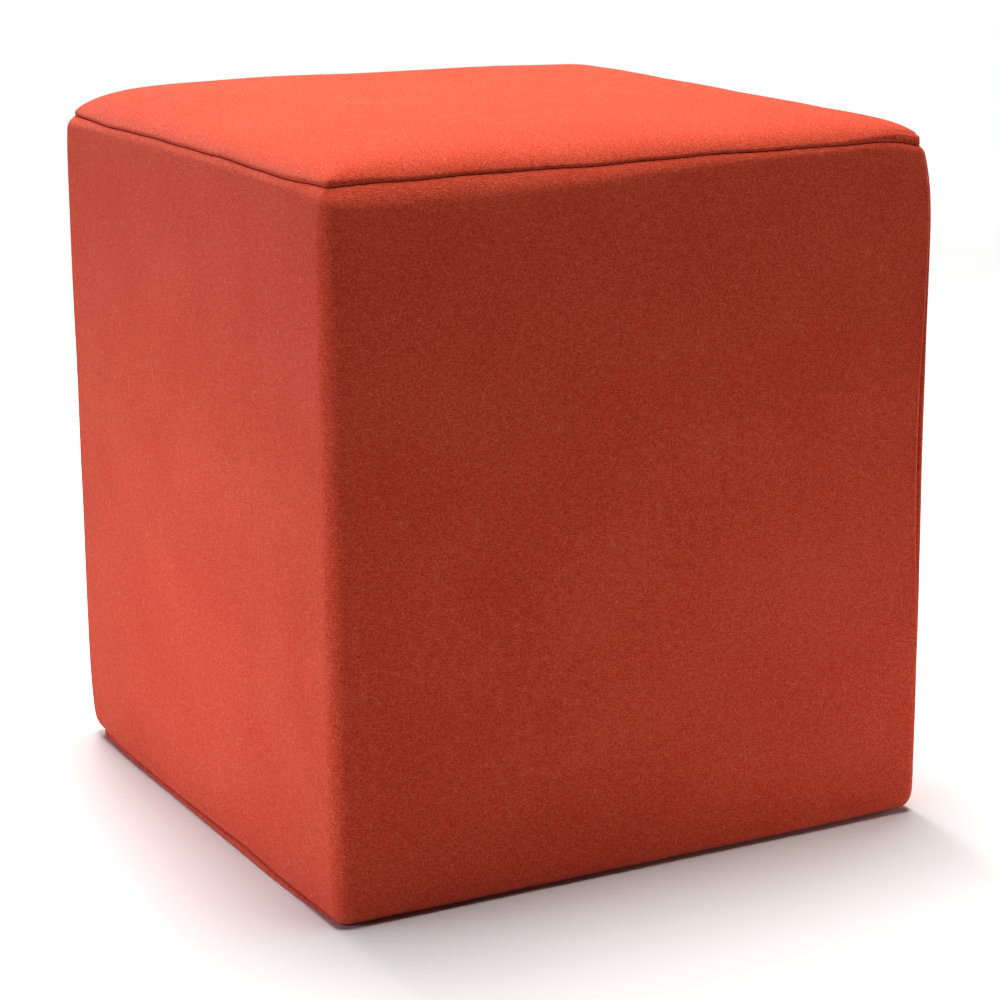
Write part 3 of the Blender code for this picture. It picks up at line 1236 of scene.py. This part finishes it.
@dataclass
class BasePanel:
    """The square under the stool, flat on the floor, which shows as a thin edge on the left."""

    cover: Cover
    finish: WoolFelt
    fill: float = 0.95
    upper_face: float = 0.0037  # height of the hidden face above
    # Up the panel's edge: share of the seam's height, and inset past the widest line.
    rim: tuple[tuple[float, float], ...] = (
        (0.00, 0.0030),
        (0.00, 0.0016),
        (0.12, 0.0005),
        (0.38, 0.0000),
        (0.65, 0.0003),
        (0.85, 0.0011),
        (0.96, 0.0024),
        (1.00, 0.0040),
    )

    def build(self) -> bpy.types.Object:
        """Builds the base panel as one closed, filled form.

        Returns:
            The piece.
        """
        draft = MeshDraft()
        loops = [self.cover.base_rim(inset, share) for share, inset in self.rim]
        rings = draft.skin(loops, [loop[:, :2] for loop in loops])
        draft.close(rings[0], loops[0], upward=False)
        draft.close(rings[-1], loops[-1], upward=True, level=self.upper_face)
        piece = draft.build("base_felt", self.finish.build())
        return self.dress(piece)

    def dress(self, piece: bpy.types.Object) -> bpy.types.Object:
        """Hangs the piece on the stool's body, hides the solid it stands for and logs it.

        Args:
            piece: The piece.

        Returns:
            The same piece.
        """
        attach(piece, BODY)
        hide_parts("base_panel")
        report(piece)
        return piece


# --- Stray fibres ---


@dataclass
class StrayFibres:
    """Loose fibres on one face of the cloth: thin curled hairs that lie along the nap."""

    name: str
    surface: Surface
    area: tuple[float, float, float, float]  # least and most place along the cloth, then up it
    count: int
    seed: int
    nap_spread: float = 0.75  # of the hairs' ways, in radians from the cloth's first axis
    segments: int = 8
    corners: int = 3  # of a hair's section
    length: tuple[float, float] = (0.006, 0.019)
    # A real fibre is 0.03 mm across: it is drawn thicker so that it shows.
    radius: tuple[float, float] = (0.000025, 0.000095)
    tip: float = 0.45  # a hair's radius at its ends, as a share of its full one
    curl: float = 0.20
    lift: float = 0.00004  # of a hair's middle line above the cloth
    arch: float = 0.00010  # mean rise of its middle over that

    def strands(self) -> tuple[Array, Array, Array]:
        """Lays the hairs on the cloth at random.

        Returns:
            Each hair's points, the ways the cloth faces there, and the hair's radius there.
        """
        chance = np.random.default_rng(self.seed)
        knots = self.segments + 1
        low_a, high_a, low_b, high_b = self.area
        a = chance.uniform(low_a, high_a, self.count)
        b = chance.uniform(low_b, high_b, self.count)
        heading = chance.normal(0.0, self.nap_spread, self.count)
        length = chance.uniform(*self.length, self.count) * chance.uniform(0.5, 1.0, self.count)
        bend = chance.normal(0, self.curl, self.count)[:, None]
        turns = np.cumsum(chance.normal(0, self.curl, (self.count, knots)) + bend, axis=1)
        ways = heading[:, None] + turns
        step = (length / self.segments)[:, None]
        a = np.clip(a[:, None] + np.cumsum(np.cos(ways) * step, axis=1), low_a, high_a)
        b = np.clip(b[:, None] + np.cumsum(np.sin(ways) * step, axis=1), low_b, high_b)
        points, facing = self.surface(a, b)

        swell = np.sin(math.pi * np.linspace(0, 1, knots))
        arch = chance.exponential(self.arch, self.count)[:, None] * swell
        points = points + facing * (self.lift + arch)[..., None]
        thick = self.radius[0] + np.ptp(self.radius) * chance.uniform(0, 1, self.count) ** 2
        return points, facing, thick[:, None] * (self.tip + (1 - self.tip) * swell)

    def tube(self) -> tuple[Array, Array]:
        """Faces of one hair: rings between its tips, with the two tips numbered last.

        Returns:
            The quads along the tube and the triangles at its tips.
        """
        rings, around = self.segments - 1, range(self.corners)
        after = [(corner + 1) % self.corners for corner in around]
        quads = []
        for low in range(0, (rings - 1) * self.corners, self.corners):
            high = low + self.corners
            quads += [(low + c, low + after[c], high + after[c], high + c) for c in around]
        first, end = rings * self.corners, (rings - 1) * self.corners
        tips = [(after[c], c, first) for c in around]
        tips += [(end + c, end + after[c], first + 1) for c in around]
        return np.array(quads), np.array(tips)

    def build(self, material: bpy.types.Material) -> bpy.types.Object:
        """Builds all the fibres as one mesh of closed, tapered tubes.

        Args:
            material: The fibres' finish.

        Returns:
            The piece.
        """
        points, facing, radius = self.strands()
        along = np.gradient(points, axis=1)
        along /= np.maximum(np.linalg.norm(along, axis=-1, keepdims=True), 1e-9)
        beside = np.cross(along, facing)
        angles = [2 * math.pi * corner / self.corners for corner in range(self.corners)]
        rings = [
            points + (facing * math.cos(angle) + beside * math.sin(angle)) * radius[..., None]
            for angle in angles
        ]
        body = np.stack(rings, axis=2)[:, 1:-1].reshape(self.count, -1, 3)
        vertices = np.concatenate([body, points[:, [0, -1]]], axis=1)
        starts = (np.arange(self.count) * vertices.shape[1])[:, None, None]
        quads, tips = self.tube()
        faces = (quads + starts).reshape(-1, 4).tolist() + (tips + starts).reshape(-1, 3).tolist()
        mesh = bpy.data.meshes.new(self.name)
        mesh.from_pydata(vertices.reshape(-1, 3).tolist(), [], faces)
        mesh.shade_smooth()
        mesh.materials.append(material)
        piece = bpy.data.objects.new(self.name, mesh)
        bpy.context.scene.collection.objects.link(piece)
        return self.dress(piece)

    def dress(self, piece: bpy.types.Object) -> bpy.types.Object:
        """Hangs the piece on the stool's body and logs it.

        Args:
            piece: The piece.

        Returns:
            The same piece.
        """
        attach(piece, BODY)
        report(piece)
        return piece


# --- Studio ---


@dataclass(frozen=True)
class Softbox:
    """A soft square lamp that the camera doesn't see."""

    name: str
    place: tuple[float, float, float]
    aim: tuple[float, float, float]
    size: float
    power: float
    colour: str = "#FFFFFF"

    def build(self) -> bpy.types.Object:
        """Hangs the lamp.

        Returns:
            The lamp.
        """
        light = bpy.data.lights.new(self.name, "AREA")
        light.shape = "SQUARE"
        light.size = self.size
        light.energy = self.power
        light.color = linear_colour(self.colour)[:3]
        lamp = bpy.data.objects.new(self.name, light)
        lamp.location = self.place
        way = Vector(self.aim) - Vector(self.place)
        lamp.rotation_mode = "QUATERNION"
        lamp.rotation_quaternion = way.to_track_quat("-Z", "Y")
        lamp.visible_camera = False
        bpy.context.scene.collection.objects.link(lamp)
        return lamp


@dataclass(frozen=True)
class StudioCamera:
    """The camera, at the photograph's angle. Its lens is given in pixels of a 1000 pixel frame."""

    place: tuple[float, float, float] = (-0.8584, -1.6281, 0.6642)
    yaw: float = 28.15
    pitch: float = 14.42
    roll: float = -0.36
    focal: float = 2829.6
    frame: float = 1000.0

    def build(self) -> bpy.types.Object:
        """Sets up the camera and makes it the scene's.

        Returns:
            The camera.
        """
        data = bpy.data.cameras.new("Camera")
        data.sensor_width = 36.0
        data.lens = self.focal / self.frame * data.sensor_width
        data.clip_start, data.clip_end = 0.05, 50.0
        camera = bpy.data.objects.new("Camera", data)
        turn = Matrix.Rotation(math.radians(-self.yaw), 4, "Z")
        tilt = Matrix.Rotation(math.radians(90.0 - self.pitch), 4, "X")
        lean = Matrix.Rotation(math.radians(self.roll), 4, "Z")
        camera.matrix_world = Matrix.Translation(self.place) @ turn @ tilt @ lean
        bpy.context.scene.collection.objects.link(camera)
        bpy.context.scene.camera = camera
        return camera


@dataclass
class Studio:
    """Pale floor, soft lamps and a white room."""

    floor_finish: StudioFloor = field(default_factory=StudioFloor)
    floor_radius: float = 2.8
    lamps: Sequence[Softbox] = (
        Softbox("Overhead softbox", (0.1, 0.15, 3.0), (0.0, 0.0, 0.2), 1.6, 131.5),
        Softbox("Left softbox", (-2.4, 0.35, 0.15), (0.0, 0.0, 0.1), 0.5, 9.2),
        Softbox(
            "Near left softbox", (-0.68, 0.0, 0.035), (-0.2, 0.0, 0.04), 0.25, 2.15, "#D3DFFF"
        ),
        Softbox("Near front softbox", (0.20, -0.47, 0.020), (0.12, -0.2, 0.015), 0.12, 0.17),
        Softbox("Right softbox", (2.2, -0.05, 0.12), (0.0, -0.05, 0.15), 0.3, 22.0),
        Softbox("Back high softbox", (0.2, 2.2, 2.0), (0.0, 0.0, 0.45), 1.2, 60.0),
    )

    def build(self) -> None:
        """Builds the floor, the room, the lamps and the camera."""
        bpy.context.scene.view_settings.view_transform = "Standard"
        self.build_floor()
        self.build_room()
        for lamp in self.lamps:
            lamp.build()
        StudioCamera().build()
        log.info("studio: %d lamps", len(self.lamps))

    def build_floor(self) -> bpy.types.Object:
        """Lays the floor.

        Returns:
            The floor.
        """
        bpy.ops.mesh.primitive_circle_add(vertices=96, radius=self.floor_radius, fill_type="NGON")
        floor = bpy.context.object
        floor.name = "studio_floor"
        floor.data.materials.append(self.floor_finish.build())
        return floor

    def build_room(self) -> bpy.types.World:
        """Makes the room, which is white to the camera and lights nothing.

        Returns:
            The world.
        """
        world = bpy.data.worlds.new("Room")
        world.use_nodes = True
        tree = world.node_tree
        tree.nodes.clear()
        seen = add_node(tree, "ShaderNodeLightPath").outputs["Is Camera Ray"]
        white = {"Color": (1.0, 1.0, 1.0, 1.0), "Strength": seen}
        light = add_node(tree, "ShaderNodeBackground", white)
        add_node(tree, "ShaderNodeOutputWorld", {"Surface": light.outputs["Background"]})
        bpy.context.scene.world = world
        return world


# --- The stool ---

FIBRES_ON_SIDE, FIBRES_ON_TOP = 750, 550
SIDE_SEED, TOP_SEED = 31, 47  # each side adds its number to the first
SIDE_MARGIN = 0.002  # kept clear of stray fibres, at a side's two corners
BASE_MARGIN, TOP_MARGIN = 0.006, 0.004  # and at its base and top seams


def main() -> None:
    """Loads the frame, builds each piece in order and reports it."""
    logging.basicConfig(level=logging.INFO, format="%(name)s: %(message)s")
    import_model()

    cover = Cover.from_frame()
    log.info("cover: side %.4f m, seam at %.4f m", cover.side, cover.seam_height)
    boxing = Boxing(cover, WoolFelt("Wool felt, milled, boxing"))
    boxing.build()
    # Painted light: the top has its own lit copy of the felt, set for the light that falls full on
    # it, with a deeper deep, a lighter tip colour and softer flecks than the sides.
    lit_top_felt = WoolFelt(
        "Wool felt, milled, top, lit copy",
        deep="#B72A11",
        light="#E16145",
        fleck_stretch=1.6,
        soft_share=0.5,
    )
    top = TopPanel(cover, lit_top_felt)
    top.build()
    BasePanel(cover, WoolFelt("Wool felt, milled, base")).build()

    stray = StrayWool("Stray wool fibres").build()
    quarter, tall = cover.girth / len(Side), float(boxing.grid_height[-1])
    for number, side in enumerate(Side):
        along = (number * quarter + SIDE_MARGIN, (number + 1) * quarter - SIDE_MARGIN)
        area = (*along, BASE_MARGIN, tall - TOP_MARGIN)
        name, seed = f"stray_fibres_{side.name.lower()}", SIDE_SEED + number
        StrayFibres(name, boxing.surface, area, FIBRES_ON_SIDE, seed).build(stray)
    reach = cover.side / 2 - cover.seam_inset - TOP_MARGIN
    area = (-reach, reach, -reach, reach)
    StrayFibres("stray_fibres_top", top.surface, area, FIBRES_ON_TOP, TOP_SEED).build(stray)

    Studio().build()


if __name__ == "__main__":
    main()
